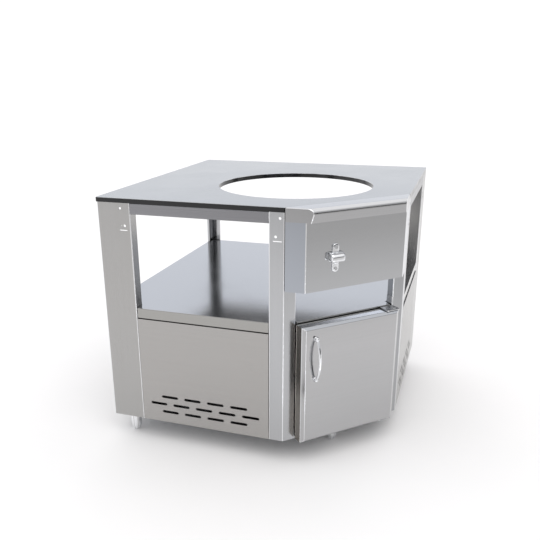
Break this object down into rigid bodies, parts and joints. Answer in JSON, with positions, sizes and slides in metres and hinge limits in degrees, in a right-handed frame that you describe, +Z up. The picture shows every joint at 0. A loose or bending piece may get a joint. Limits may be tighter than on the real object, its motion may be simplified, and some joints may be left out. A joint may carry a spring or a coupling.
{
  "type": "corner grill cabinet",
  "caption": "Five-sided stainless corner cabinet with a round worktop cut-out for a ceramic grill, open shelf bay, vented lower cupboard with a hinged door, and levelling feet.",
  "frame": {"origin": "on the floor, at the middle of the cabinet's box", "axes": "+Z up; -Y is the front with the door; +Y points to the corner between the two walls; +X is the hinge side of the door, the cabinet's longest way"},
  "size_m": [1.4142, 1.254, 0.905],
  "materials": {
    "brushed_stainless": "brushed stainless sheet, fine straight grain",
    "worktop_stainless": "brushed stainless worktop sheet",
    "shelf_stainless": "brushed stainless shelf sheet, slightly smoother",
    "inner_stainless": "mill-finish stainless sheet inside the cabinet",
    "black_board": "black solid laminate board, polished edge",
    "polished_metal": "polished bright plating on cast metal",
    "fastener_steel": "plain stainless fasteners and brackets",
    "foot_stainless": "turned and brushed stainless tube",
    "black_plastic": "black moulded plastic",
    "nylon": "natural nylon"
  },
  "bodies": {
    "cabinet": {"back_panel_left": "brushed_stainless", "back_panel_right": "brushed_stainless", "base_rail_back_left": "inner_stainless", "base_rail_back_right": "inner_stainless", "base_rail_front": "inner_stainless", "base_rail_left": "inner_stainless", "base_rail_right": "inner_stainless", "bottle_opener": "polished_metal", "bracket_screws": "fastener_steel", "core_screws": "fastener_steel", "fascia_brackets": "inner_stainless", "fascia_nose": "brushed_stainless", "fascia_panel": "brushed_stainless", "floor_plate": "inner_stainless", "foot_plates": "inner_stainless", "foot_sleeves": "foot_stainless", "hinge_bracket_bottom": "fastener_steel", "hinge_bracket_top": "fastener_steel", "hinge_pin_bottom": "fastener_steel", "hinge_pin_top": "fastener_steel", "magnet_catch": "black_plastic", "opener_screws": "fastener_steel", "post_back": "brushed_stainless", "post_front_left": "brushed_stainless", "post_front_right": "brushed_stainless", "post_rear_left": "brushed_stainless", "post_rear_right": "brushed_stainless", "shelf": "shelf_stainless", "shelf_stiffeners": "inner_stainless", "side_panel_left": "brushed_stainless", "side_panel_right": "brushed_stainless", "top_rail_back_left": "brushed_stainless", "top_rail_back_right": "brushed_stainless", "top_rail_front": "brushed_stainless", "top_rail_left": "brushed_stainless", "top_rail_right": "brushed_stainless", "worktop_core": "black_board", "worktop_skin": "worktop_stainless"},
    "door": {"door_skin": "brushed_stainless", "door_liner": "inner_stainless", "door_handle": "polished_metal", "handle_screws": "fastener_steel", "hinge_bushes": "nylon", "catch_strike": "fastener_steel"},
    "foot_left_body": {"foot_left": "foot_stainless"},
    "foot_right_body": {"foot_right": "foot_stainless"},
    "foot_back_body": {"foot_back": "foot_stainless"},
    "foot_front_body": {"foot_front": "foot_stainless"}
  },
  "joints": [
    {"name": "door_hinge", "type": "hinge", "parent": "cabinet", "child": "door", "pos_m": [0.182, -0.573, 0.3], "axis": [0, 0, 1], "range_deg": [0, 110]},
    {"name": "foot_left_level", "type": "slide", "parent": "cabinet", "child": "foot_left_body", "axis": [0, 0, -1], "range_m": [0, 0.03]},
    {"name": "foot_right_level", "type": "slide", "parent": "cabinet", "child": "foot_right_body", "axis": [0, 0, -1], "range_m": [0, 0.03]},
    {"name": "foot_back_level", "type": "slide", "parent": "cabinet", "child": "foot_back_body", "axis": [0, 0, -1], "range_m": [0, 0.03]},
    {"name": "foot_front_level", "type": "slide", "parent": "cabinet", "child": "foot_front_body", "axis": [0, 0, -1], "range_m": [0, 0.03]}
  ]
}
